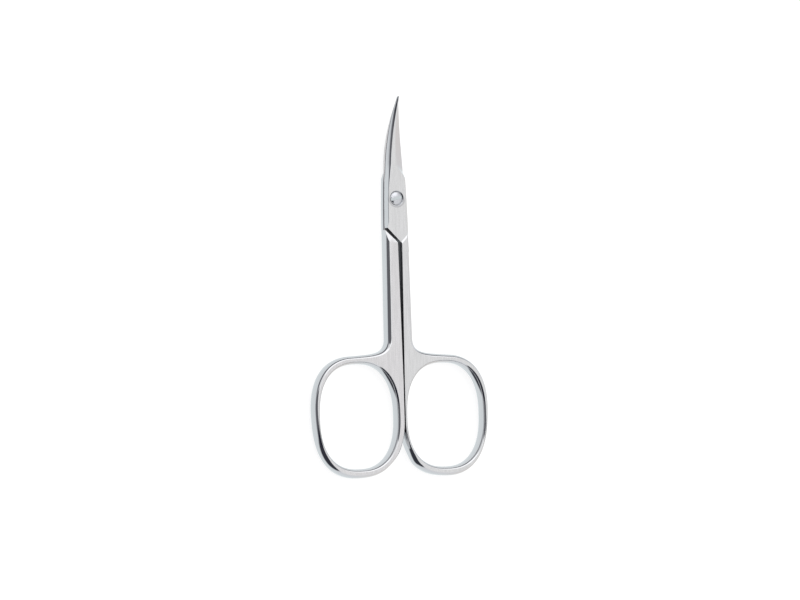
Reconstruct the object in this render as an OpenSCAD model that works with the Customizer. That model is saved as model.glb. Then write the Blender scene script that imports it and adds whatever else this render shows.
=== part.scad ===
// Cuticle scissors with curved blades: two matching halves, crossed at a slotted pivot screw.
// The scissors lie on the backs of the shanks and rings, with the rings towards -Y and the blade tips
// curving up. Each half is drawn with the pivot at the origin and its finger ring on the +X side.

/* [Overall] */
// Length from the blade tips to the far side of the finger rings
total_length = 90; // [74:1:112]
// Width across both finger rings
total_width = 45.6; // [37:0.2:58]
// Thickness of the shanks and the finger rings
handle_thickness = 3.9; // [3.2:0.1:5]
// Play between the two parting faces, which slide on each other
parting_play = 0.05; // [0.02:0.01:0.12]

/* [Blades] */
// Distance from the pivot to the blade tips
blade_length = 24; // [20:0.5:29]
// Width of each half where it crosses the other, as if its back stood out as far as its outer side
lap_width = 5.8; // [4.8:0.05:6.9]
// Distance from the pivot axis to the back of the crossing
lap_back_reach = 2.62; // [2.3:0.02:2.9]
// Depth of each crossing face below the face of its own shank
lap_recess = 0.3; // [0.2:0.05:0.45]
// Distance from the pivot at which the blades begin to curve
curve_start = 9; // [7:0.5:11]
// Radius of the blades' curve
curve_radius = 30; // [25:1:60]
// Distance from the pivot to the heel of the cutting edge
heel_distance = 6.25; // [4.5:0.25:7.5]
// Width from the pivot axis to the cutting edge at its heel
heel_reach = 2.5; // [2.1:0.05:2.8]
// Width from the pivot axis to the grinding line of the cutting bevel near the heel
bevel_line = 0.27; // [0.2:0.01:0.6]
// Thickness of the blade at its tip
tip_thickness = 0.25; // [0.15:0.05:0.4]
// Thickness that is left along the cutting edge
edge_thickness = 0.08; // [0.06:0.01:0.15]
// Lean of the blade's back from its foot to its front
back_lean = 0.75; // [0.4:0.05:0.8]
// Width and depth of the rounding between the blade's back and its front
back_rounding = 0.5; // [0.3:0.05:0.6]
// Width of the bevel along the outer side of the crossing's front
side_bevel = 0.4; // [0.2:0.05:0.6]
// Width of the rounding along the outer side of the crossing's parting face
parting_bevel = 0.4; // [0.05:0.05:0.4]

/* [Shanks] */
// Distance from the scissors' centre line to the outside of a shank at its blade end
shank_reach_top = 3; // [2.5:0.02:3.5]
// Distance from the scissors' centre line to the outside of a shank at its ring end
shank_reach_ring = 3.28; // [2.8:0.02:3.8]
// Gap between the two shanks at their blade ends
shank_gap = 0.85; // [0.6:0.05:1.4]
// Distance from the pivot at which the closed shanks meet
shank_meet = 43; // [36:1:44]
// Distance from the pivot to the upper corner of the crossing's slanted end
shoulder_distance = 6.73; // [6:0.01:7.5]
// Slope of the slanted shoulders from the width direction
shoulder_angle = 45.3; // [42:0.1:50]
// Gap between a crossing's slanted end and the shank end beside it
shoulder_gap = 0.6; // [0.3:0.05:0.7]
// Slope of the ramp ground on each shank end, on the face where the other half crosses
ramp_angle = 17; // [0:1:25]
// Distance from the pivot at which that ramp begins
ramp_distance = 10.5; // [9.5:0.1:12]
// Distance by which the line between the closed handles lies off the pivot, towards the front half's ring
line_offset = 0.4; // [0:0.01:0.45]

/* [Finger rings] */
// Outer length of a finger ring
ring_length = 28.9; // [25:0.1:34]
// Width of the ring's limb beside the other ring
inner_limb = 1.45; // [1.1:0.05:2.2]
// Width of the ring's outermost limb
outer_limb = 1.65; // [1.3:0.05:2.6]
// Width of the ring's limb towards the blades
upper_limb = 2.03; // [1.5:0.05:2.8]
// Width of the ring's limb furthest from the blades
lower_limb = 2.15; // [1.5:0.05:2.8]
// Squareness of the ring's outline, 2 for a plain ellipse
ring_squareness = 2.45; // [2:0.05:3.2]
// Lean of each ring's outline, far end towards the other ring, in degrees
ring_lean = 3.4; // [0:0.1:4]
// Lean of each finger hole, in degrees
hole_lean = 0.4; // [0:0.1:2]
// Gap between the closed rings
ring_gap = 0.08; // [0.04:0.01:0.2]
// Length over which the shank's outside sweeps into the ring
sweep_length = 4.2; // [3:0.1:6]

/* [Rounded edges] */
// Width of the rounding along the finger rings, at most half a limb
edge_width = 0.75; // [0.3:0.05:0.9]
// Width of the rounding along the outside of the shanks
shank_edge_width = 0.95; // [0.3:0.05:1.1]
// Width of the rounding along the slanted shoulders
shoulder_edge_width = 1; // [0.4:0.05:1.1]
// Depth of the roundings of the shanks
edge_depth = 1.1; // [0.5:0.05:1.2]
// Depth of the roundings of the finger rings
ring_edge_depth = 1.5; // [0.5:0.05:1.55]
// Width of the rounding where the two closed halves face each other
meeting_edge_width = 0.15; // [0.05:0.01:0.3]

/* [Pivot screw] */
// Diameter of the screw's shank
screw_d = 2; // [1.6:0.1:2.4]
// Play of the screw in the front half, across the diameter
screw_play = 0.06; // [0.04:0.01:0.16]
// Diameter of the screw's head
head_d = 2.8; // [2.6:0.1:3.2]
// Depth of the countersink that the head sits in
seat_depth = 0.4; // [0.15:0.05:0.45]
// Width of the countersink's sloping wall
seat_width = 0.3; // [0.2:0.05:0.5]
// Gap between the head and the foot of that wall
seat_play = 0.1; // [0.05:0.05:0.15]
// Height of the head's straight rim
head_rim = 0.2; // [0.15:0.05:0.4]
// Height of the dome above the rim
head_dome = 0.4; // [0.2:0.05:0.5]
// Width of the driver slot
slot_width = 0.65; // [0.3:0.05:0.7]
// Depth of the driver slot below the top of the dome
slot_depth = 0.45; // [0.3:0.05:0.5]
// Turn of the driver slot from the width direction, in degrees
slot_turn = 13; // [0:1:90]
// Diameter of the peened tail
tail_d = 2.6; // [2.4:0.1:3]
// Height of the peened tail behind the rear half
tail_height = 0.2; // [0.1:0.05:0.2]

/* [Hidden] */

steel = [0.78, 0.79, 0.8];
steel_dark = [0.7, 0.71, 0.73];
screw_steel = [0.85, 0.86, 0.88];

pivot_y = total_length / 2 - blade_length;
parting_z = handle_thickness / 2;
half_play = parting_play / 2;
lap_z = handle_thickness - lap_recess;
lap_thickness = lap_z - parting_z - half_play;
lap_reach = lap_width / 2;
seat_z = lap_z - seat_depth;

ring_width = (total_width - ring_gap) / 2;
hole_width = ring_width - inner_limb - outer_limb;
hole_length = ring_length - upper_limb - lower_limb;
far_end_y = blade_length - total_length;

shoulder_dir = [cos(shoulder_angle), sin(shoulder_angle)];
gap_reach = shank_gap / 2;
ring_edge = min(edge_width, min(outer_limb, upper_limb, lower_limb) / 2 - 0.05,
    inner_limb - line_offset - meeting_edge_width - 0.05);

// Shares and powers that give the blade its outline
back_power = 2;
edge_power = 1.6;
thinning_power = 2.2;
tip_reach = 0.1;
bevel_swoop = 3.4;

arc_steps = 64;
sweep_steps = 10;
profile_steps = 3;
profile_power = 1.25;
face_margin = 1;

function lerp(a, b, t) = a + (b - a) * t;
function clamp01(t) = min(1, max(0, t));
function bezier(p, t) = pow(1 - t, 3) * p[0] + 3 * t * pow(1 - t, 2) * p[1]
    + 3 * t * t * (1 - t) * p[2] + pow(t, 3) * p[3];
function turn(p, a) = [p.x * cos(a) - p.y * sin(a), p.x * sin(a) + p.y * cos(a)];

// A closed oval of the ring's squareness, with its far end leaning towards the other ring
function oval_point(wide, long, a) =
    [wide / 2 * sign(cos(a)) * pow(abs(cos(a)), 2 / ring_squareness),
     long / 2 * sign(sin(a)) * pow(abs(sin(a)), 2 / ring_squareness)];
function oval(wide, long, lean) = [for (i = [0 : arc_steps - 1])
    turn(oval_point(wide, long, 360 * i / arc_steps), -lean)];
function low_x(points) = min([for (p = points) p.x]);
function low_y(points) = min([for (p = points) p.y]);
function fitted(size, reach) = size * size / (-2 * reach);
plain_oval = oval(ring_width, ring_length, ring_lean);
full_oval = oval(fitted(ring_width, low_x(plain_oval)), fitted(ring_length, low_y(plain_oval)), ring_lean);
ring_centre = [ring_gap / 2 - low_x(full_oval), far_end_y - low_y(full_oval)];
hole_centre = ring_centre + [(inner_limb - outer_limb) / 2, (lower_limb - upper_limb) / 2];
meeting_i = [for (i = [0 : arc_steps - 1]) if (full_oval[i].x == low_x(full_oval)) i][0];
meet_y = max(-shank_meet, (ring_centre + full_oval[meeting_i]).y + 4);

// The shank end runs along the slanted shoulder, shoulder_gap away from the other half's crossing
crossing_corner = [lap_reach, -shoulder_distance];
shoulder_point = crossing_corner + shoulder_gap * [shoulder_dir.y, -shoulder_dir.x];
function shoulder_at(x) = [x, shoulder_point.y + (x - shoulder_point.x) * tan(shoulder_angle)];

// The shank's outside sweeps into the top of the ring
ring_top_i = round(arc_steps * 0.235);
ring_top = ring_centre + full_oval[ring_top_i];
sweep = [[shank_reach_ring, ring_top.y + sweep_length],
         [shank_reach_ring, ring_top.y + 0.3],
         [lerp(shank_reach_ring, ring_top.x, 0.3), ring_top.y + 0.5],
         ring_top];

// The side towards the other half moves by the line's offset, and the rest of the outline stays
function moved(p, offset) = let(t = clamp01((p.x - 1.2) / 2.4)) [p.x + offset * (1 - t * t * (3 - 2 * t)), p.y];

// Outline of a shank and its ring, counterclockwise, each point with the rounding's width along the edge
// after it, on the face where the other half crosses and on the outer face, and with its depth there
function handle_outline(offset) = concat(
    [[moved([ring_gap / 2, meet_y], offset), meeting_edge_width, meeting_edge_width, edge_depth]],
    [for (i = [meeting_i : arc_steps + ring_top_i - 1])
        let(t = clamp01((i - meeting_i) / (arc_steps / 10)), width = lerp(meeting_edge_width, ring_edge, t))
        [moved(ring_centre + full_oval[i % arc_steps], offset), width, width,
         lerp(edge_depth, ring_edge_depth, t)]],
    [for (k = [sweep_steps : -1 : 0])
        let(t = k / sweep_steps, width = lerp(shank_edge_width, ring_edge, t))
        [bezier(sweep, t), width, width, lerp(edge_depth, ring_edge_depth, t)]],
    [[shoulder_at(shank_reach_top), meeting_edge_width, shoulder_edge_width, edge_depth],
     [shoulder_at(gap_reach + offset), meeting_edge_width, meeting_edge_width, edge_depth]]);

// Moves each point of an outline inwards by the roundings of the two edges that meet there
function edge_normal(a, b) = [-(b - a).y, (b - a).x] / norm(b - a);
function inset_point(o, i, share, face) = let(n = len(o),
    p = o[i][0],
    n1 = edge_normal(o[(i + n - 1) % n][0], p),
    n2 = edge_normal(p, o[(i + 1) % n][0]),
    d1 = share * o[(i + n - 1) % n][face],
    d2 = share * o[i][face],
    c = n1 * n2)
    c > 0.95 ? p + (n1 + n2) / norm(n1 + n2) * (d1 + d2) / 2
             : p + n1 * (d1 - c * d2) / (1 - c * c) + n2 * (d2 - c * d1) / (1 - c * c);
function inset(o, share, face) = [for (i = [0 : len(o) - 1]) inset_point(o, i, share, face)];

// Rounding profile from a face, k = 0, to the straight wall, k = profile_steps: share of width and of depth.
// Each level is such a pair of shares and the face that it belongs to.
function profile_in(k) = 1 - pow(sin(90 * k / profile_steps), profile_power);
function profile_down(k) = 1 - pow(cos(90 * k / profile_steps), profile_power);
levels = concat(
    [for (k = [0 : profile_steps]) [profile_in(k), profile_down(k), 1]],
    [for (k = [profile_steps : -1 : 0]) [profile_in(k), profile_down(k), 2]]);

// The loop round an outline at one level of its rounding
function rounded(o, level) = let(loop = inset(o, level[0], level[2]))
    [for (i = [0 : len(o) - 1]) let(down = o[i][3] * level[1])
        [loop[i].x, loop[i].y, level[2] == 1 ? down : handle_thickness - down]];

// Closed solid through a row of outlines with the same number of points, each counterclockwise
// as seen from the last one. Each outline's first point sees all its others.
module stack(loops) {
    n = len(loops[0]);
    top = (len(loops) - 1) * n;
    polyhedron(
        points = [for (loop = loops) each loop],
        faces = concat(
            [for (i = [1 : n - 2]) [0, i, i + 1]],
            [for (a = [0 : n : top - n]) for (i = [0 : n - 1]) let(b = (i + 1) % n)
                each [[a + i, a + n + i, a + n + b], [a + i, a + n + b, a + b]]],
            [for (i = [1 : n - 2]) [top, top + i + 1, top + i]]));
}

function lifted(loop, z) = [for (p = loop) [p.x, p.y, z]];

module handle_body(offset) {
    outline = handle_outline(offset);
    stack([for (level = levels) rounded(outline, level)]);
}

module finger_hole() {
    hole = [for (p = oval(hole_width, hole_length, hole_lean))
        [hole_centre + p, -ring_edge, -ring_edge, ring_edge_depth]];
    stack(concat(
        [lifted(inset(hole, 1, 1), -face_margin)],
        [for (level = levels) rounded(hole, level)],
        [lifted(inset(hole, 1, 1), handle_thickness + face_margin)]));
}

// Wedge ground off the shank end, rising towards the shoulder
module end_ramp() {
    span = shank_reach_ring + face_margin;
    translate([-face_margin, -ramp_distance, 0])
        rotate([ramp_angle, 0, 0])
            translate([0, 0, -ramp_distance])
                cube([span + face_margin, ramp_distance, ramp_distance]);
}

// The blades curve along circles round the pivot, so that they slide on each other at any opening
function rise(r) = r < curve_start ? 0 : curve_radius - sqrt(pow(curve_radius, 2) - pow(r - curve_start, 2));
function along(y, y0) = clamp01((y - y0) / (blade_length - y0));

function crossing_back(y) = -(lap_back_reach - tip_reach) * (1 - pow(along(y, -shoulder_distance), back_power))
    - tip_reach;
function crossing_end(y) = -lap_reach - (y + shoulder_distance) / tan(shoulder_angle);
function back_x(y, offset) = min(gap_reach + offset + half_play, max(crossing_back(y), crossing_end(y)));
function wall_x(y) = lap_reach - (lap_reach - heel_reach)
    * pow(clamp01((y + shoulder_distance) / (shoulder_distance + heel_distance)), 1.5);
function edge_x(y) = y < heel_distance ? min(wall_x(y), shank_reach_top - half_play)
    : (heel_reach - tip_reach) * (1 - pow(along(y, heel_distance), edge_power)) + tip_reach;
function thickness(y) = lerp(lap_thickness, tip_thickness, pow(along(y, heel_distance - 1), thinning_power));

// The back's lean and its rounding grow from the crossing to the blade, and then shrink with the
// thickness. The lean fades out at the slanted end.
back_corner_y = -shoulder_distance - (lap_reach - lap_back_reach) * tan(shoulder_angle);
function growth(y, start) = lerp(start, 1, clamp01((y - 2) / 6));
function lean_at(y) = back_lean * growth(y, 0.5) * clamp01((y - back_corner_y) / 1.2)
    * thickness(y) / lap_thickness;
function back_round(y) = min(back_rounding * growth(y, 0.2), 0.7 * thickness(y));

// The flat on the blade's front lies between the rounded back and the cutting bevel
function flat_in(y) = lean_at(y) + back_round(y) / 2;
function wall_top_in(y) = max(0, lean_at(y) - back_round(y) / 2);
function grinding_line(y) = lerp(bevel_line, crossing_back(y) + flat_in(y) + 0.15, along(y, heel_distance + 2));
function flat_x1(y) = let(t = clamp01((y - heel_distance + 1.5) / bevel_swoop))
    lerp(edge_x(y) - side_bevel, grinding_line(y), t * t * (3 - 2 * t));
function edge_height(y) = lerp(lap_thickness - side_bevel, edge_thickness,
    clamp01((y - heel_distance + 1.5) / 1.5));
function parting_round(y) = parting_bevel * (1 - clamp01((y - heel_distance + 2.5) / 2.5));

inner_steps = 4;
function section(y, curve, offset) = let(x0 = back_x(y, offset), x1 = edge_x(y), c = parting_round(y),
    full = thickness(y), fx0 = x0 + flat_in(y), wx = x0 + wall_top_in(y), down = back_round(y),
    z0 = parting_z + half_play,
    inner = [for (k = [0 : inner_steps]) [lerp(x0, x1 - c, k / inner_steps), 0]],
    outer = [[x1, max(1.5 * c, edge_thickness / 2)], [x1, edge_height(y)], [max(min(flat_x1(y), x1), fx0 + 0.02), full],
             [fx0, full], [(wx + fx0) / 2, full - down / 4], [wx, full - down]])
    [for (q = concat(inner, outer)) [q.x, y, z0 + q.y + curve * rise(norm([q.x, y]))]];

function stations(offset) = concat(
    [-shoulder_distance - 6,
     -shoulder_distance - (lap_reach + gap_reach + offset + half_play) * tan(shoulder_angle)],
    [for (k = [0 : 4]) back_corner_y + k * 0.3],
    [for (y = [-4 : 2 : 2]) y],
    [heel_distance - 3, heel_distance - 1.5, heel_distance - 1, heel_distance - 0.5],
    [for (y = [heel_distance : 0.75 : blade_length - 0.5]) y],
    [blade_length - 0.4, blade_length]);

// One half's crossing and blade; curve is 1 for a blade that curves up and -1 for one that curves down
module blade(curve, offset) {
    ys = stations(offset);
    stack([for (j = [len(ys) - 1 : -1 : 0]) section(ys[j], curve, offset)]);
}

// One half, with curve also giving the side of the pivot on which the line between the handles lies
module scissor_half(curve, bore_d) {
    offset = curve * line_offset;
    difference() {
        union() {
            difference() {
                handle_body(offset);
                finger_hole();
                end_ramp();
            }
            blade(curve, offset);
        }
        cylinder(h = handle_thickness * 2, d = bore_d, $fn = 64);
    }
}

module countersink() {
    floor_d = head_d + 2 * seat_play;
    translate([0, 0, seat_z])
        cylinder(h = 2 * seat_depth, d1 = floor_d, d2 = floor_d + 4 * seat_width, $fn = 64);
}

module front_half() {
    color(steel)
        translate([0, pivot_y, 0])
            difference() {
                scissor_half(1, screw_d + screw_play);
                countersink();
            }
}

module rear_half() {
    color(steel_dark)
        translate([0, pivot_y, handle_thickness])
            rotate([0, 180, 0])
                scissor_half(-1, screw_d);
}

module pivot_screw() {
    dome_r = (pow(head_d / 2, 2) + pow(head_dome, 2)) / (2 * head_dome);
    color(screw_steel)
        translate([0, pivot_y, 0]) {
            difference() {
                union() {
                    translate([0, 0, lap_recess])
                        cylinder(h = seat_z - lap_recess, d = screw_d, $fn = 64);
                    translate([0, 0, seat_z])
                        cylinder(h = head_rim, d = head_d, $fn = 64);
                    intersection() {
                        translate([0, 0, seat_z + head_rim + head_dome - dome_r])
                            sphere(r = dome_r, $fn = 64);
                        translate([0, 0, seat_z + head_rim])
                            cylinder(h = head_dome * 2, d = head_d, $fn = 64);
                    }
                    translate([0, 0, lap_recess - tail_height])
                        cylinder(h = tail_height, d = tail_d, $fn = 64);
                }
                translate([0, 0, seat_z + head_rim + head_dome - slot_depth])
                    rotate([0, 0, slot_turn])
                        translate([-head_d, -slot_width / 2, 0])
                            cube([2 * head_d, slot_width, head_d]);
            }
        }
}

front_half();
rear_half();
pivot_screw();
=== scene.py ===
"""Cuticle scissors: two satin steel halves with polished edges, crossed at a slotted screw, on a pale table.

Shapes are drawn in millimetres with the pivot at the origin, as in the part's source, and are scaled to
metres and moved to the pivot when they are finished.
"""

import math

import bmesh
import bpy
from mathutils import Matrix, Vector


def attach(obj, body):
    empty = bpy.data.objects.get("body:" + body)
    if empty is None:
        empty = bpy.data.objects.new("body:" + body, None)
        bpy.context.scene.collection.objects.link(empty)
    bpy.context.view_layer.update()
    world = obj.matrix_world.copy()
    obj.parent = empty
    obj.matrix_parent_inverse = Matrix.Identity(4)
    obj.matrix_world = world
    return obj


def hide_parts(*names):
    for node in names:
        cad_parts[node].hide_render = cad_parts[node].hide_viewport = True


MM = 0.001

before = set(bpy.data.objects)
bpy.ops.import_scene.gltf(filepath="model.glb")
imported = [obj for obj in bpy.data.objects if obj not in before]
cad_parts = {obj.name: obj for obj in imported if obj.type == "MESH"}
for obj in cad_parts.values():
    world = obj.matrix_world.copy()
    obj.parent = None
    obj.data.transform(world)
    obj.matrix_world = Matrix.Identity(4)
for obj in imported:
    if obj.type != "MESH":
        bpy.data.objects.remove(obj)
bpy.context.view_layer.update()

# Overall sizes, in millimetres
TOTAL_LENGTH = 90
TOTAL_WIDTH = 45.6
THICKNESS = 3.9
PARTING_PLAY = 0.05
BLADE_LENGTH = 24
PIVOT_Y = TOTAL_LENGTH / 2 - BLADE_LENGTH
HALF_PLAY = PARTING_PLAY / 2
PARTING_Z = THICKNESS / 2

# Crossing and blade
LAP_WIDTH = 5.8
LAP_RECESS = 0.3
LAP_Z = THICKNESS - LAP_RECESS
LAP_THICKNESS = LAP_Z - PARTING_Z - HALF_PLAY
LAP_REACH = LAP_WIDTH / 2
LAP_BACK_REACH = 2.62
CURVE_START = 9
CURVE_RADIUS = 30
HEEL_DISTANCE = 6.25
HEEL_REACH = 2.5
BEVEL_LINE = 0.27
TIP_THICKNESS = 0.25
TIP_REACH = 0.1
EDGE_THICKNESS = 0.08
BACK_LEAN = 0.75
BACK_ROUNDING = 0.5
SIDE_BEVEL = 0.4
PARTING_BEVEL = 0.4
BEVEL_SWOOP = 3.4
BACK_POWER = 2
HEEL_POWER = 1.5
EDGE_POWER = 1.6
THINNING_POWER = 2.2

# The back's slant and rounding are shares of their full size at the crossing, and grow past the pivot.
# The slant runs in from the crossing's corner, and the rounding takes at most a share of the thickness.
GROWTH_START = 2
GROWTH_LENGTH = 6
CROSSING_LEAN = 0.5
CROSSING_ROUNDING = 0.2
LEAN_RUN = 1.2
MOST_ROUNDING = 0.7

# The cutting bevel starts a little before the heel, and its ridge runs towards the back at the tip
BEVEL_LEAD = 1.5
RIDGE_START = 2
RIDGE_FROM_BACK = 0.15
LEAST_FLAT = 0.02

# The bevel beside the parting face fades out over this length before the heel. Its height is a multiple
# of its width.
CORNER_FADE = 2.5
CORNER_HEIGHT = 1.5
LEAST_CORNER = 0.01

# Shanks and their slanted ends
SHANK_REACH_TOP = 3
SHANK_REACH_RING = 3.28
GAP_REACH = 0.425
SHANK_MEET = 43
SHOULDER_DISTANCE = 6.73
SHOULDER_ANGLE = math.radians(45.3)
SHOULDER_GAP = 0.6
RAMP_ANGLE = math.radians(17)
RAMP_DISTANCE = 10.5
LINE_OFFSET = 0.4

# The sweep from shank to ring: its length, and the places of the two points that bend it
SWEEP_LENGTH = 4.2
SWEEP_FOOT = 0.3
SWEEP_SHARE = 0.3
SWEEP_LIFT = 0.5

# The line's offset moves the sides that meet, as far out as this, and fades away over the next stretch
MEETING_REACH = 1.2
MEETING_FADE = 2.4

# Finger rings
RING_GAP = 0.08
RING_WIDTH = (TOTAL_WIDTH - RING_GAP) / 2
RING_LENGTH = 28.9
INNER_LIMB = 1.45
OUTER_LIMB = 1.65
UPPER_LIMB = 2.03
LOWER_LIMB = 2.15
HOLE_WIDTH = RING_WIDTH - INNER_LIMB - OUTER_LIMB
HOLE_LENGTH = RING_LENGTH - UPPER_LIMB - LOWER_LIMB
RING_SQUARENESS = 2.45
RING_LEAN = math.radians(3.4)
HOLE_LEAN = math.radians(0.4)

# Rounded edges
EDGE_WIDTH = 0.75
SHANK_EDGE_WIDTH = 0.95
SHOULDER_EDGE_WIDTH = 1
EDGE_DEPTH = 1.1
RING_EDGE_DEPTH = 1.5
MEETING_EDGE_WIDTH = 0.15
PROFILE_POWER = 1.25
PROFILE_STEPS = 8
CREASE_GUARD = 0.06
# Two edges of an outline count as one line above this cosine of the angle between them
NEARLY_STRAIGHT = 0.95

# Numbers of steps round the ovals, along the sweep, round the screw and its bores, and up the head's dome
ARC_STEPS = 192
SWEEP_STEPS = 24
ROUND_STEPS = 96
DOME_STEPS = 12
# Steps of the ring's outline over which the rounding grows from the meeting side
GROWING_STEPS = ARC_STEPS / 10
# Distance between the sections of the blade past the heel
STATION_STEP = 0.375

# Pivot screw
SCREW_D = 2
SCREW_PLAY = 0.06
HEAD_D = 2.8
SEAT_DEPTH = 0.4
SEAT_WIDTH = 0.3
SEAT_PLAY = 0.1
SEAT_Z = LAP_Z - SEAT_DEPTH
HEAD_RIM = 0.2
HEAD_DOME = 0.4
SLOT_WIDTH = 0.65
SLOT_DEPTH = 0.45
SLOT_TURN = math.radians(13)
TAIL_D = 2.6
TAIL_HEIGHT = 0.2


def lerp(a, b, t):
    return a + (b - a) * t


def clamp01(t):
    return min(1, max(0, t))


def smooth01(t):
    t = clamp01(t)
    return t * t * (3 - 2 * t)


# Outlines of the handle, seen from the front

def turned(point, angle):
    return Vector((point.x * math.cos(angle) - point.y * math.sin(angle),
                   point.x * math.sin(angle) + point.y * math.cos(angle)))


def oval(wide, long, lean):
    """A squarish oval whose far end leans towards the other ring."""
    def point(a):
        c, s = math.cos(a), math.sin(a)
        power = 2 / RING_SQUARENESS
        return Vector((wide / 2 * math.copysign(abs(c) ** power, c) if abs(c) > 1e-9 else 0,
                       long / 2 * math.copysign(abs(s) ** power, s) if abs(s) > 1e-9 else 0))
    return [turned(point(2 * math.pi * i / ARC_STEPS), -lean) for i in range(ARC_STEPS)]


def fitted(size, reach):
    return size * size / (-2 * reach)


def ring_outline():
    """The ring's outside, round its own centre, scaled so that the lean leaves its width and length."""
    plain = oval(RING_WIDTH, RING_LENGTH, RING_LEAN)
    return oval(fitted(RING_WIDTH, min(p.x for p in plain)),
                fitted(RING_LENGTH, min(p.y for p in plain)), RING_LEAN)


def bezier(p, t):
    return ((1 - t) ** 3 * p[0] + 3 * t * (1 - t) ** 2 * p[1]
            + 3 * t * t * (1 - t) * p[2] + t ** 3 * p[3])


RING = ring_outline()
MEETING_I = min(range(ARC_STEPS), key=lambda i: RING[i].x)
RING_TOP_I = ARC_STEPS * 15 // 64
RING_CENTRE = Vector((RING_GAP / 2 - min(p.x for p in RING),
                      BLADE_LENGTH - TOTAL_LENGTH - min(p.y for p in RING)))
HOLE_CENTRE = RING_CENTRE + Vector(((INNER_LIMB - OUTER_LIMB) / 2, (LOWER_LIMB - UPPER_LIMB) / 2))
SHOULDER_POINT = (Vector((LAP_REACH, -SHOULDER_DISTANCE))
                  + SHOULDER_GAP * Vector((math.sin(SHOULDER_ANGLE), -math.cos(SHOULDER_ANGLE))))


def shoulder_at(x):
    return Vector((x, SHOULDER_POINT.y + (x - SHOULDER_POINT.x) * math.tan(SHOULDER_ANGLE)))


def moved(point, offset):
    """Moves the side towards the other half by an offset; the rest of the outline stays."""
    fade = smooth01((point.x - MEETING_REACH) / MEETING_FADE)
    return Vector((point.x + offset * (1 - fade), point.y))


def handle_outline(offset):
    """Points of the shank and ring, counterclockwise, each with the rounding of the edge after it.

    The rounding is its width on the face where the other half crosses, its width on the outer face,
    and its depth.
    """
    ring_top = RING_CENTRE + RING[RING_TOP_I]
    sweep = (Vector((SHANK_REACH_RING, ring_top.y + SWEEP_LENGTH)),
             Vector((SHANK_REACH_RING, ring_top.y + SWEEP_FOOT)),
             Vector((lerp(SHANK_REACH_RING, ring_top.x, SWEEP_SHARE), ring_top.y + SWEEP_LIFT)),
             ring_top)
    meeting_end = moved(Vector((RING_GAP / 2, -SHANK_MEET)), offset)
    outline = [(meeting_end, MEETING_EDGE_WIDTH, MEETING_EDGE_WIDTH, EDGE_DEPTH)]
    for i in range(MEETING_I, ARC_STEPS + RING_TOP_I):
        t = clamp01((i - MEETING_I) / GROWING_STEPS)
        width = lerp(MEETING_EDGE_WIDTH, EDGE_WIDTH, t)
        outline.append((moved(RING_CENTRE + RING[i % ARC_STEPS], offset), width, width,
                        lerp(EDGE_DEPTH, RING_EDGE_DEPTH, t)))
    for k in range(SWEEP_STEPS, -1, -1):
        t = k / SWEEP_STEPS
        width = lerp(SHANK_EDGE_WIDTH, EDGE_WIDTH, t)
        outline.append((bezier(sweep, t), width, width, lerp(EDGE_DEPTH, RING_EDGE_DEPTH, t)))
    outline.append((shoulder_at(SHANK_REACH_TOP), MEETING_EDGE_WIDTH, SHOULDER_EDGE_WIDTH, EDGE_DEPTH))
    outline.append((shoulder_at(GAP_REACH + offset), MEETING_EDGE_WIDTH, MEETING_EDGE_WIDTH, EDGE_DEPTH))
    return outline


def hole_outline():
    return [(HOLE_CENTRE + p, -EDGE_WIDTH, -EDGE_WIDTH, RING_EDGE_DEPTH)
            for p in oval(HOLE_WIDTH, HOLE_LENGTH, HOLE_LEAN)]


def edge_normal(a, b):
    d = (b - a).normalized()
    return Vector((-d.y, d.x))


def inset(outline, share, face):
    """The outline moved inwards by a share of the roundings of its edges on one face, 1 or 2."""
    points = []
    for i, corner in enumerate(outline):
        p, before, after = corner[0], outline[i - 1], outline[(i + 1) % len(outline)]
        n1, n2 = edge_normal(before[0], p), edge_normal(p, after[0])
        d1, d2 = share * before[face], share * corner[face]
        c = n1.dot(n2)
        if c > NEARLY_STRAIGHT:
            points.append(p + (n1 + n2).normalized() * (d1 + d2) / 2)
        else:
            points.append(p + n1 * (d1 - c * d2) / (1 - c * c) + n2 * (d2 - c * d1) / (1 - c * c))
    return points


def edge_profile():
    """Shares of the rounding's width and of its depth, from the face to the straight wall."""
    steps = [(1 + CREASE_GUARD, 0)]
    for k in range(PROFILE_STEPS + 1):
        a = math.pi / 2 * k / PROFILE_STEPS
        steps.append((1 - math.sin(a) ** PROFILE_POWER, 1 - math.cos(a) ** PROFILE_POWER))
    return steps


def rounded(outline, share, down, face):
    """The loop round an outline at one step of its rounding, on one face, 1 or 2."""
    heights = [corner[3] * down for corner in outline]
    return [(p.x, p.y, height if face == 1 else THICKNESS - height)
            for p, height in zip(inset(outline, share, face), heights)]


# Mesh tools

def place(ring, points):
    for v, p in zip(ring, points):
        v.co = p


def ring_edges(bm, ring):
    return [bm.edges.get((v, ring[i - 1])) for i, v in enumerate(ring)]


def loft(bm, loops):
    """A skin drawn through loops of the same number of points.

    Returns its first and last ring of vertices.
    """
    first = bmesh.ops.create_circle(bm, segments=len(loops[0]), radius=1)["verts"]
    place(first, loops[0])
    ring = first
    for loop in loops[1:]:
        grown = bmesh.ops.extrude_edge_only(bm, edges=ring_edges(bm, ring))["geom"]
        new = {v for v in grown if isinstance(v, bmesh.types.BMVert)}
        ring = [next(e.other_vert(v) for e in v.link_edges if e.other_vert(v) in new) for v in ring]
        place(ring, loop)
    return first, ring


def finished(bm):
    bmesh.ops.remove_doubles(bm, verts=bm.verts, dist=1e-5)
    bmesh.ops.recalc_face_normals(bm, faces=bm.faces)


def new_object(name, bm):
    mesh = bpy.data.meshes.new(name)
    bm.to_mesh(mesh)
    bm.free()
    obj = bpy.data.objects.new(name, mesh)
    bpy.context.scene.collection.objects.link(obj)
    return obj


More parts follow.
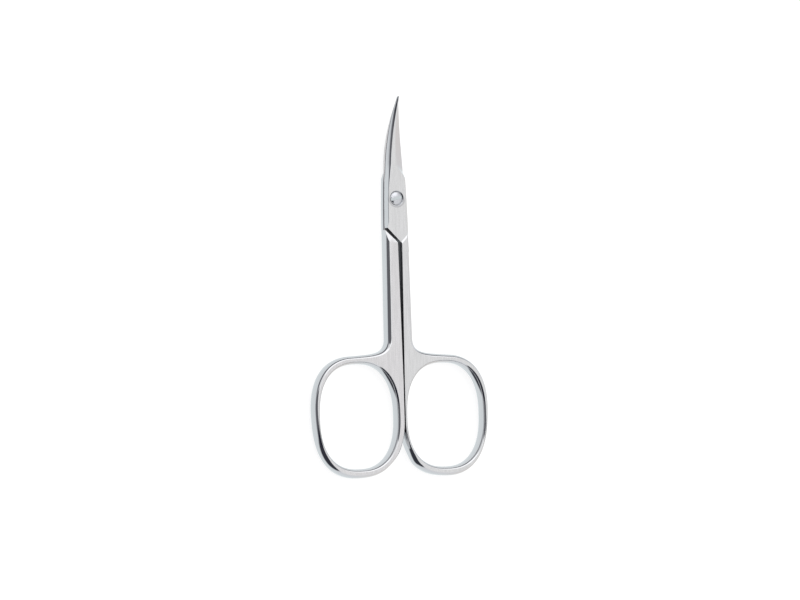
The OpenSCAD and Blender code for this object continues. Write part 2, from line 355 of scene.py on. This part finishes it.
def combined(name, base, *steps):
    """base with other shapes added or cut away, each step an operation and its object."""
    for operation, other in steps:
        cut = base.modifiers.new(operation.lower(), "BOOLEAN")
        cut.operation = operation
        cut.solver = "EXACT"
        cut.object = other
    bpy.context.view_layer.update()
    mesh = bpy.data.meshes.new_from_object(base.evaluated_get(bpy.context.evaluated_depsgraph_get()))
    for used in (base, *(other for _, other in steps)):
        bpy.data.objects.remove(used)
    mesh.name = name
    obj = bpy.data.objects.new(name, mesh)
    bpy.context.scene.collection.objects.link(obj)
    return obj


# The parts of one half

def handle_shape(offset):
    """Shank and finger ring as one flat forging with rounded edges and a ramp at the shank's end."""
    profile = edge_profile()
    levels = [(share, down, 1) for share, down in profile]
    levels += [(share, down, 2) for share, down in reversed(profile)]
    bm = bmesh.new()
    outside = loft(bm, [rounded(handle_outline(offset), *level) for level in levels])
    hole = loft(bm, [rounded(hole_outline(), *level) for level in levels])
    for outer, inner in zip(outside, hole):
        bmesh.ops.triangle_fill(bm, edges=ring_edges(bm, outer) + ring_edges(bm, inner), use_beauty=True)
    finished(bm)
    cut = bmesh.ops.bisect_plane(
        bm, geom=bm.verts[:] + bm.edges[:] + bm.faces[:], plane_co=(0, -RAMP_DISTANCE, 0),
        plane_no=(0, -math.sin(RAMP_ANGLE), math.cos(RAMP_ANGLE)), dist=1e-6, clear_inner=True)["geom_cut"]
    bmesh.ops.triangle_fill(bm, edges=[e for e in cut if isinstance(e, bmesh.types.BMEdge)], use_beauty=True)
    finished(bm)
    return new_object("handle", bm)


def rise(r):
    """How far the blade curves up at a distance from the pivot axis."""
    return 0 if r < CURVE_START else CURVE_RADIUS - math.sqrt(CURVE_RADIUS ** 2 - (r - CURVE_START) ** 2)


def along(y, start):
    return clamp01((y - start) / (BLADE_LENGTH - start))


def back_x(y, offset):
    crossing = -(LAP_BACK_REACH - TIP_REACH) * (1 - along(y, -SHOULDER_DISTANCE) ** BACK_POWER) - TIP_REACH
    slanted_end = -LAP_REACH - (y + SHOULDER_DISTANCE) / math.tan(SHOULDER_ANGLE)
    return min(GAP_REACH + offset + HALF_PLAY, max(crossing, slanted_end))


def edge_x(y):
    if y < HEEL_DISTANCE:
        share = clamp01((y + SHOULDER_DISTANCE) / (SHOULDER_DISTANCE + HEEL_DISTANCE))
        return min(LAP_REACH - (LAP_REACH - HEEL_REACH) * share ** HEEL_POWER, SHANK_REACH_TOP - HALF_PLAY)
    return (HEEL_REACH - TIP_REACH) * (1 - along(y, HEEL_DISTANCE) ** EDGE_POWER) + TIP_REACH


def thickness(y):
    return lerp(LAP_THICKNESS, TIP_THICKNESS, along(y, HEEL_DISTANCE - 1) ** THINNING_POWER)


BACK_CORNER_Y = -SHOULDER_DISTANCE - (LAP_REACH - LAP_BACK_REACH) * math.tan(SHOULDER_ANGLE)


def swept(start, corner, end, steps):
    """Points of a rounding that leaves start and reaches end towards their common corner."""
    return [tuple((1 - t) ** 2 * a + 2 * t * (1 - t) * c + t * t * e for a, c, e in zip(start, corner, end))
            for t in (k / steps for k in range(steps + 1))]


def blade_section(y, curve, offset):
    """Outline across the blade: parting face, its rounded outer corner, the edge, the flat, and the back."""
    x0, x1, full = back_x(y, offset), edge_x(y), thickness(y)
    growth = clamp01((y - GROWTH_START) / GROWTH_LENGTH)
    lean = (BACK_LEAN * lerp(CROSSING_LEAN, 1, growth) * clamp01((y - BACK_CORNER_Y) / LEAN_RUN)
            * full / LAP_THICKNESS)
    rounding = min(BACK_ROUNDING * lerp(CROSSING_ROUNDING, 1, growth), MOST_ROUNDING * full)
    flat0 = x0 + lean + rounding / 2
    wall_top = x0 + max(0, lean - rounding / 2)
    swoop = smooth01((y - HEEL_DISTANCE + BEVEL_LEAD) / BEVEL_SWOOP)
    grinding_line = lerp(BEVEL_LINE, flat0 + RIDGE_FROM_BACK, along(y, HEEL_DISTANCE + RIDGE_START))
    flat1 = lerp(x1 - SIDE_BEVEL, grinding_line, swoop)
    flat1 = max(min(flat1, x1), flat0 + LEAST_FLAT)
    corner = max(LEAST_CORNER, PARTING_BEVEL * (1 - clamp01((y - HEEL_DISTANCE + CORNER_FADE) / CORNER_FADE)))
    edge = lerp(LAP_THICKNESS - SIDE_BEVEL, EDGE_THICKNESS,
                clamp01((y - HEEL_DISTANCE + BEVEL_LEAD) / BEVEL_LEAD))
    shape = [(lerp(x0, x1 - corner, k / 6), 0) for k in range(6)]
    shape += swept((x1 - corner, 0), (x1, 0), (x1, CORNER_HEIGHT * corner), 4)
    shape += [(lerp(x1, flat1, k / 4), lerp(edge, full, k / 4)) for k in range(4)]
    shape += [(flat1, full), (lerp(flat1, flat0, 0.5), full)]
    shape += swept((flat0, full), (x0 + lean, full), (wall_top, full - rounding), 8)
    shape += [(lerp(wall_top, x0, 0.5), (full - rounding) / 2)]
    return [(x, y, PARTING_Z + HALF_PLAY + z + curve * rise(math.hypot(x, y))) for x, z in shape]


def blade_stations(offset):
    """Where the sections stand: close together at the back's corner, at the heel and along the blade."""
    ys = [-SHOULDER_DISTANCE - 6,
          -SHOULDER_DISTANCE - (LAP_REACH + GAP_REACH + offset + HALF_PLAY) * math.tan(SHOULDER_ANGLE)]
    ys += [BACK_CORNER_Y + k * 0.15 for k in range(9)]
    ys += [-4, -2, 0, 2, HEEL_DISTANCE - 3, HEEL_DISTANCE - 2.5, HEEL_DISTANCE - 2]
    ys += [HEEL_DISTANCE - 1.5 + k * 0.25 for k in range(6)]
    y = HEEL_DISTANCE
    while y < BLADE_LENGTH - 0.5:
        ys.append(y)
        y += STATION_STEP
    return ys + [BLADE_LENGTH - 0.4, BLADE_LENGTH - 0.2, BLADE_LENGTH]


def blade_shape(curve, offset):
    """The crossing and the curved blade of one half."""
    bm = bmesh.new()
    ends = loft(bm, [blade_section(y, curve, offset) for y in blade_stations(offset)])
    for ring in ends:
        bmesh.ops.contextual_create(bm, geom=ring_edges(bm, ring))
    finished(bm)
    return new_object("blade", bm)


def round_shape(name, low_r, high_r, depth, middle_z):
    """A cylinder or cone round the pivot axis."""
    bm = bmesh.new()
    bmesh.ops.create_cone(bm, cap_ends=True, segments=ROUND_STEPS, radius1=low_r, radius2=high_r,
                          depth=depth, matrix=Matrix.Translation((0, 0, middle_z)))
    finished(bm)
    return new_object(name, bm)


def bore_shape(diameter):
    return round_shape("bore", diameter / 2, diameter / 2, THICKNESS * 4, 0)


def countersink():
    """The conical seat of the screw's head, drawn up past the front face."""
    foot = HEAD_D / 2 + SEAT_PLAY
    return round_shape("countersink", foot, foot + 2 * SEAT_WIDTH, 2 * SEAT_DEPTH, LAP_Z)


def half(name, curve, bore_d, place_matrix, *cuts):
    """One half: its handle joined to its blade, bored, cut, and set in its place in metres."""
    offset = curve * LINE_OFFSET
    steps = [("UNION", blade_shape(curve, offset)), ("DIFFERENCE", bore_shape(bore_d))]
    steps += [("DIFFERENCE", cut) for cut in cuts]
    obj = combined(name, handle_shape(offset), *steps)
    obj.data.transform(Matrix.Scale(MM, 4) @ place_matrix)
    return obj


def pivot_screw():
    """A domed, slotted head, the screw's shank, and the tail peened over behind."""
    dome_r = ((HEAD_D / 2) ** 2 + HEAD_DOME ** 2) / (2 * HEAD_DOME)
    top = SEAT_Z + HEAD_RIM + HEAD_DOME
    tail_z = LAP_RECESS - TAIL_HEIGHT
    bm = bmesh.new()
    outline = [(0, tail_z), (TAIL_D / 2, tail_z), (TAIL_D / 2, LAP_RECESS), (SCREW_D / 2, LAP_RECESS),
               (SCREW_D / 2, SEAT_Z), (HEAD_D / 2, SEAT_Z), (HEAD_D / 2, SEAT_Z + HEAD_RIM)]
    for k in range(1, DOME_STEPS + 1):
        r = HEAD_D / 2 * (1 - k / DOME_STEPS)
        outline.append((r, top - dome_r + math.sqrt(dome_r ** 2 - r ** 2)))
    verts = [bm.verts.new((r, 0, z)) for r, z in outline]
    edges = [bm.edges.new(pair) for pair in zip(verts, verts[1:])]
    bmesh.ops.spin(bm, geom=verts + edges, cent=(0, 0, 0), axis=(0, 0, 1), angle=2 * math.pi,
                   steps=ROUND_STEPS, use_merge=True)
    finished(bm)
    body = new_object("screw", bm)
    bm = bmesh.new()
    bmesh.ops.create_cube(bm, size=1)
    bmesh.ops.scale(bm, verts=bm.verts, vec=(2 * HEAD_D, SLOT_WIDTH, HEAD_D))
    bmesh.ops.rotate(bm, verts=bm.verts, cent=(0, 0, 0), matrix=Matrix.Rotation(SLOT_TURN, 3, "Z"))
    bmesh.ops.translate(bm, verts=bm.verts, vec=(0, 0, top - SLOT_DEPTH + HEAD_D / 2))
    finished(bm)
    obj = combined("slotted_screw", body, ("DIFFERENCE", new_object("slot", bm)))
    obj.data.transform(Matrix.Scale(MM, 4) @ Matrix.Translation((0, PIVOT_Y, 0)))
    return obj


FRONT_PLACE = Matrix.Translation((0, PIVOT_Y, 0))
REAR_PLACE = Matrix.Translation((0, PIVOT_Y, THICKNESS)) @ Matrix.Rotation(math.pi, 4, "Y")
front = half("front_forging", 1, SCREW_D + SCREW_PLAY, FRONT_PLACE, countersink())
rear = half("rear_forging", -1, SCREW_D, REAR_PLACE)
screw = pivot_screw()

# Finishes

class Wiring:
    """Adds nodes to one shader tree and joins them."""

    def __init__(self, tree):
        self.tree = tree

    def put(self, socket, source):
        if isinstance(source, bpy.types.NodeSocket):
            self.tree.links.new(source, socket)
        else:
            socket.default_value = source

    def add(self, kind, inputs=(), **settings):
        node = self.tree.nodes.new(kind)
        for key, value in settings.items():
            setattr(node, key, value)
        for name, source in dict(inputs).items():
            self.put(node.inputs[name], source)
        return node

    def maths(self, operation, *values):
        node = self.add("ShaderNodeMath", operation=operation)
        for socket, value in zip(node.inputs, values):
            self.put(socket, value)
        return node.outputs[0]

    def between(self, value, low, high, at_low=0.0, at_high=1.0):
        """A soft step from at_low to at_high while value goes from low to high."""
        return self.add("ShaderNodeMapRange", {"Value": value, "From Min": low, "From Max": high,
                                               "To Min": at_low, "To Max": at_high},
                        interpolation_type="SMOOTHSTEP").outputs["Result"]

    def mixed(self, kind, factor, a, b):
        node = self.add("ShaderNodeMix", {"Factor": factor, "A": a, "B": b}, data_type=kind)
        return node.outputs["Result"]

    def blended(self, factor, a, b):
        return self.mixed("FLOAT", factor, a, b)

    def tinted(self, factor, a, b):
        return self.mixed("RGBA", factor, a, b)

    def vector_maths(self, operation, *vectors):
        return self.add("ShaderNodeVectorMath", dict(enumerate(vectors)), operation=operation).outputs

    def stretched(self, point, scale):
        return self.vector_maths("MULTIPLY", point, scale)["Vector"]

    def component(self, vector, letter):
        return self.add("ShaderNodeSeparateXYZ", {0: vector}).outputs[letter]

    def stretched_noise(self, point, scale, detail, roughness=0.5):
        return self.add("ShaderNodeTexNoise", {"Vector": self.stretched(point, scale), "Scale": 1.0,
                                               "Detail": detail, "Roughness": roughness}).outputs["Fac"]

    def around_pivot(self, point):
        """Where a point lies round the pivot axis, seen along it, and how far from the axis that is."""
        centred = self.add("ShaderNodeMapping", {"Vector": point, "Location": (0, -PIVOT_Y * MM, 0)})
        flat = self.stretched(centred.outputs["Vector"], (1, 1, 0))
        return flat, self.vector_maths("LENGTH", flat)["Value"]


def shared_effect(name, inputs, outputs):
    tree = bpy.data.node_groups.new(name, "ShaderNodeTree")
    for socket_name, kind, default in inputs:
        socket = tree.interface.new_socket(socket_name, in_out="INPUT", socket_type=kind)
        if default is not None:
            socket.default_value = default
    for socket_name, kind in outputs:
        tree.interface.new_socket(socket_name, in_out="OUTPUT", socket_type=kind)
    w = Wiring(tree)
    return tree, w, w.add("NodeGroupInput").outputs, w.add("NodeGroupOutput").inputs


def brushed_grain():
    """Grinding lines along the scissors: a fine grain, broader pale streaks, and a soft mottle."""
    tree, w, given, out = shared_effect(
        "brushed_grain", [("Point", "NodeSocketVector", None)],
        [("Grain", "NodeSocketFloat"), ("Streaks", "NodeSocketFloat"), ("Mottle", "NodeSocketFloat")])
    w.put(out["Grain"], w.stretched_noise(given["Point"], (14000, 450, 2000), 3, 0.7))
    w.put(out["Streaks"], w.stretched_noise(given["Point"], (3600, 260, 400), 2))
    w.put(out["Mottle"], w.stretched_noise(given["Point"], (420, 160, 420), 3))
    return tree


def polished_edges():
    """Where the surface turns away from the flat ground faces, and the waves and scratches of polishing."""
    tree, w, given, out = shared_effect(
        "polished_edges", [("Point", "NodeSocketVector", None), ("Facing", "NodeSocketVector", None)],
        [("Polish", "NodeSocketFloat"), ("Waves", "NodeSocketFloat"), ("Scratches", "NodeSocketFloat")])
    tilt = w.maths("ABSOLUTE", w.component(given["Facing"], "Z"))
    w.put(out["Polish"], w.between(tilt, 0.94, 0.995, 1.0, 0.0))
    w.put(out["Waves"], w.stretched_noise(given["Point"], (330, 330, 330), 2))
    scratches = w.stretched_noise(given["Point"], (5200, 5200, 900), 4, 0.75)
    w.put(out["Scratches"], w.between(scratches, 0.56, 0.7))
    return tree


GRAIN = brushed_grain()
EDGES = polished_edges()


def new_material(name):
    """A new material, the wiring of its nodes, and the inputs of its shader."""
    material = bpy.data.materials.new(name)
    material.use_nodes = True
    w = Wiring(material.node_tree)
    return material, w, w.tree.nodes["Principled BSDF"].inputs


def relief(w, shader, height):
    """Roughens the surface by a height in millimetres."""
    bump = w.add("ShaderNodeBump", {"Height": height, "Strength": 1.0, "Distance": MM})
    w.put(shader["Normal"], bump.outputs["Normal"])


# Tones as red, green, blue and opacity
MOTTLE_TONE = (0.60, 0.60, 0.60, 1)
# Painted shade in a faint arc round the screw's seat
SEAT_SHADE_TONE = (0.25, 0.25, 0.28, 1)
# Painted shade on the raw walls in the gap between the shanks and at the slanted ends
RAW_WALL_SHADE_TONE = (0.13, 0.13, 0.14, 1)
SLOT_TONE = (0.56, 0.6, 0.62, 1)
SCREW_TONES = ((0.54, 0.55, 0.58, 1), (0.62, 0.63, 0.66, 1))

SEAT_SHADE_RADIUS = 2.05 * MM
SLOT_SIDE = SLOT_WIDTH / 2 * MM


def painted_seat_shade(w, point):
    """How much of the painted shade shows: a faint dark arc round the screw's seat, on the side of the rings.
    """
    flat, from_pivot = w.around_pivot(point)
    strength = w.between(w.component(flat, "Y"), -0.8 * MM, 0.6 * MM, 0.4, 0)
    off_arc = w.maths("ABSOLUTE", w.maths("SUBTRACT", from_pivot, SEAT_SHADE_RADIUS))
    return w.maths("MULTIPLY", w.between(off_arc, 0.05 * MM, 0.3 * MM, 1, 0), strength)


def steel_finish(name, face_tone, edge_tone, face_roughness):
    """Ground satin faces, polished roundings and bevels, and raw walls where no wheel reaches, rougher and
    painted near black as shade; a painted shade darkens an arc round the screw's seat.
    """
    material, w, shader = new_material(name)
    where = w.add("ShaderNodeTexCoord").outputs
    grain = w.add("ShaderNodeGroup", {"Point": where["Object"]}, node_tree=GRAIN).outputs
    edges = w.add("ShaderNodeGroup", {"Point": where["Object"], "Facing": where["Normal"]},
                  node_tree=EDGES).outputs
    raw_shaded = w.add("ShaderNodeAttribute", attribute_name="unpolished_shaded").outputs["Fac"]

    face = w.tinted(w.between(grain["Streaks"], 0.35, 0.68), [c * 0.95 for c in face_tone] + [1],
                    [c * 1.03 for c in face_tone] + [1])
    face = w.tinted(w.between(grain["Mottle"], 0.5, 0.75, 0, 0.3), face, MOTTLE_TONE)
    tone = w.tinted(edges["Polish"], face, [*edge_tone, 1])
    # Painted shade: a faint dark arc round the screw's seat
    tone = w.tinted(painted_seat_shade(w, where["Object"]), tone, SEAT_SHADE_TONE)
    # Painted shade: the raw walls are painted near black
    w.put(shader["Base Color"], w.tinted(raw_shaded, tone, RAW_WALL_SHADE_TONE))
    w.put(shader["Metallic"], 1.0)
    satin = w.between(grain["Grain"], 0.3, 0.7, face_roughness - 0.05, face_roughness + 0.09)
    polished = w.between(edges["Scratches"], 0, 1, 0.07, 0.16)
    finish = w.blended(edges["Polish"], satin, polished)
    w.put(shader["Roughness"], w.blended(raw_shaded, finish, 0.5))
    heights = [w.maths("MULTIPLY", source, w.blended(edges["Polish"], on_face, on_edge))
               for source, on_face, on_edge in ((grain["Grain"], 0.010, 0.001),
                                                (grain["Streaks"], 0.006, 0.0),
                                                (edges["Waves"], 0.01, 0.02))]
    relief(w, shader, w.maths("ADD", w.maths("ADD", heights[0], heights[1]), heights[2]))
    return material


def screw_finish():
    """Bright turned steel with fine rings round the screw's axis and a slightly bluer driver slot."""
    material, w, shader = new_material("turned_screw_steel")
    where = w.add("ShaderNodeTexCoord").outputs
    flat, radius = w.around_pivot(where["Object"])
    wobble = w.stretched_noise(where["Object"], (2500, 2500, 2500), 2)
    rings = w.maths("SINE", w.maths("ADD", w.maths("MULTIPLY", radius, 60000),
                                    w.maths("MULTIPLY", wobble, 6)))
    scratches = w.stretched_noise(where["Object"], (9000, 2200, 9000), 4, 0.7)
    slot_side = (-math.sin(SLOT_TURN), math.cos(SLOT_TURN), 0)
    across = w.vector_maths("DOT_PRODUCT", flat, slot_side)["Value"]
    above = w.maths("GREATER_THAN", w.component(where["Object"], "Z"), SEAT_Z * MM)
    in_slot = w.between(w.maths("ABSOLUTE", across), SLOT_SIDE, SLOT_SIDE + 0.02 * MM, 1, 0)
    in_slot = w.maths("MULTIPLY", in_slot, above)
    tone = w.tinted(w.between(scratches, 0.4, 0.65), *SCREW_TONES)
    w.put(shader["Base Color"], w.tinted(in_slot, tone, SLOT_TONE))
    w.put(shader["Metallic"], 1.0)
    w.put(shader["Roughness"], w.between(scratches, 0.35, 0.7, 0.08, 0.2))
    relief(w, shader, w.maths("ADD", w.maths("MULTIPLY", rings, 0.0012),
                              w.maths("MULTIPLY", scratches, 0.004)))
    return material


# A face this far from level is a wall. The ranges say where the raw walls are, from the pivot; these walls
# are rougher and painted near black as shade.
WALL_TILT = 0.55
GAP_X, GAP_Y = (-0.1, 1.4), (-SHANK_MEET, -9)
SHOULDER_X, SHOULDER_Y = (-3.2, 3.2), (-14, -5.5)


def mark_rough_shaded_walls(obj, side):
    """Marks the walls between the two shanks and round the slanted ends, where no polishing wheel reaches;
    the finish makes them rougher and paints them near black as shade.

    side is 1 for the front half and -1 for the rear half, which is turned over.
    """
    mesh = obj.data
    marks = mesh.attributes.new("unpolished_shaded", "FLOAT", "FACE")
    for face in mesh.polygons:
        x, y = face.center.x / MM * side, face.center.y / MM - PIVOT_Y
        inward, ahead = face.normal.x * side, face.normal.y
        wall = abs(face.normal.z) < WALL_TILT
        in_gap = wall and inward < -0.5 and GAP_X[0] < x < GAP_X[1] and GAP_Y[0] < y < GAP_Y[1]
        at_shoulder = (wall and abs(ahead) > 0.4 and SHOULDER_Y[0] < y < SHOULDER_Y[1]
                       and SHOULDER_X[0] < x < SHOULDER_X[1])
        marks.data[face.index].value = 1.0 if in_gap or at_shoulder else 0.0


front_steel = steel_finish("front_satin_steel", (0.655, 0.655, 0.66), (0.64, 0.645, 0.655), 0.2)
rear_steel = steel_finish("rear_satin_steel", (0.66, 0.65, 0.66), (0.64, 0.645, 0.655), 0.22)
screw_steel = screw_finish()

for piece, body, node, slot, finish in ((front, "front", "front_half", "front_steel", front_steel),
                                        (rear, "rear", "rear_half", "rear_steel", rear_steel),
                                        (screw, "rear", "pivot_screw", "screw_steel", screw_steel)):
    piece.data.materials.clear()
    piece.data.materials.append(finish)
    for face in piece.data.polygons:
        face.use_smooth = True
    piece.data.set_sharp_from_angle(angle=math.radians(28))
    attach(piece, body)
    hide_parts(node)

mark_rough_shaded_walls(front, 1)
mark_rough_shaded_walls(rear, -1)


# The stage

def make_camera():
    """A long lens above the table, 25 degrees to the left of the pivot axis, as in the photograph."""
    yaw, pitch, roll = (math.radians(a) for a in (25.3325, -2.058, 1.7014))
    distance = 917.74 * MM
    picture_width, picture_height = 800, 600
    pixels_per_metre = 4219.66
    focal_pixels = pixels_per_metre * distance
    aim = Vector((0, 21 * MM, 3.5 * MM))
    aim_pixel = (396.531, 198.207)
    back = Vector((-math.sin(yaw) * math.cos(pitch), math.sin(pitch), math.cos(yaw) * math.cos(pitch)))
    right = Vector((math.cos(yaw), 0, math.sin(yaw)))
    up = back.cross(right)
    turned_right = right * math.cos(roll) - up * math.sin(roll)
    turned_up = up * math.cos(roll) + right * math.sin(roll)
    data = bpy.data.cameras.new("camera")
    data.sensor_width = 36
    data.lens = focal_pixels * data.sensor_width / picture_width
    data.clip_start, data.clip_end = 0.05, 20
    camera = bpy.data.objects.new("camera", data)
    bpy.context.scene.collection.objects.link(camera)
    spot = (aim + back * distance
            - turned_right * (aim_pixel[0] - picture_width / 2) / pixels_per_metre
            + turned_up * (aim_pixel[1] - picture_height / 2) / pixels_per_metre)
    turn = Matrix((turned_right, turned_up, back)).transposed().to_4x4()
    camera.matrix_world = Matrix.Translation(spot) @ turn
    bpy.context.scene.camera = camera


make_camera()


def towards(azimuth, elevation):
    """The direction at an azimuth from +X and an elevation, both in degrees."""
    a, e = math.radians(azimuth), math.radians(elevation)
    return (math.cos(a) * math.cos(e), math.sin(a) * math.cos(e), math.sin(e))


def make_world():
    """A soft white studio that is dark on the left of the rings' end. The camera itself sees plain white."""
    world = bpy.data.worlds.new("studio")
    bpy.context.scene.world = world
    world.use_nodes = True
    world.node_tree.nodes.clear()
    w = Wiring(world.node_tree)
    direction = w.add("ShaderNodeTexCoord").outputs["Generated"]
    height = w.component(direction, "Z")
    # Halved in height, so that a round patch on it is a tall one in the studio
    squashed = w.vector_maths("NORMALIZE", w.stretched(direction, (1, 1, 0.5)))["Vector"]

    def nearness(centre, inner, outer, seen_along=direction):
        """1 within inner degrees of the centre, falling to 0 at outer degrees."""
        along_it = w.vector_maths("DOT_PRODUCT", seen_along, centre)["Value"]
        return w.between(along_it, math.cos(math.radians(outer)), math.cos(math.radians(inner)))

    from_floor_up = w.add("ShaderNodeMapRange", {"Value": height, "From Min": -1}).outputs[0]
    ramp = w.add("ShaderNodeValToRGB", {0: from_floor_up})
    stops = ramp.color_ramp.elements
    stops[0].position, stops[0].color = 0.0, (0.93, 0.98, 1, 1)
    stops[1].position, stops[1].color = 1.0, (1.05, 1.05, 1.05, 1)
    for position, tone in ((0.3, (0.93, 0.97, 0.99)), (0.5, (0.9, 0.9, 0.95)), (0.68, (1, 1, 1.01))):
        stops.new(position).color = (*tone, 1)
    light = ramp.outputs[0]

    lamps = ((w.maths("MULTIPLY", nearness(towards(88, 34), 22, 40), w.between(height, 0.1, 0.2)),
              (1.6, 1.6, 1.62, 1)),
             (nearness(towards(150, 62), 8, 16), (1.5, 1.5, 1.52, 1)),
             (w.maths("MULTIPLY", nearness(towards(335, -16), 22, 45), 0.6), (0.98, 0.9, 0.84, 1)))
    for lamp, tone in lamps:
        light = w.tinted(lamp, light, tone)

    # A dark card on the left of the rings' end, one on the left, and a dark horizon beyond the tips
    off_horizon = w.maths("ABSOLUTE", w.maths("ADD", height, 0.06))
    horizon = w.maths("MULTIPLY", w.between(off_horizon, 0.12, 0.26, 1, 0),
                      nearness(towards(100, 0), 50, 80))
    shades = [w.maths("MULTIPLY", nearness(towards(224, 15), 31, 40, squashed), 0.97),
              w.maths("MULTIPLY", nearness(towards(182, 20), 21, 31, squashed), 0.85),
              w.maths("MULTIPLY", horizon, 0.85)]
    for shade in shades:
        light = w.tinted(shade, light, (0.02, 0.022, 0.035, 1))
    seen = w.add("ShaderNodeLightPath").outputs["Is Camera Ray"]
    shader = w.add("ShaderNodeBackground", {"Color": w.tinted(seen, light, (1, 1, 1, 1))})
    w.put(w.add("ShaderNodeOutputWorld").inputs["Surface"], shader.outputs[0])


make_world()


TABLE_DROP = 0.02 * MM


def make_table():
    """A wide pale table just under the scissors, bright enough to stay nearly white between soft shadows."""
    bm = bmesh.new()
    bmesh.ops.create_grid(bm, x_segments=1, y_segments=1, size=3)
    bmesh.ops.translate(bm, verts=bm.verts, vec=(0, 0, -TABLE_DROP))
    table = new_object("table_top", bm)
    table.visible_glossy = False
    paint, w, shader = new_material("pale_table")
    for socket, value in (("Base Color", (0.3, 0.3, 0.3, 1)), ("Roughness", 0.9), ("Specular IOR Level", 0.1),
                          ("Emission Color", (1, 1, 1, 1)), ("Emission Strength", 0.84)):
        w.put(shader[socket], value)
    table.data.materials.append(paint)


make_table()

bpy.context.scene.view_settings.view_transform = "Standard"
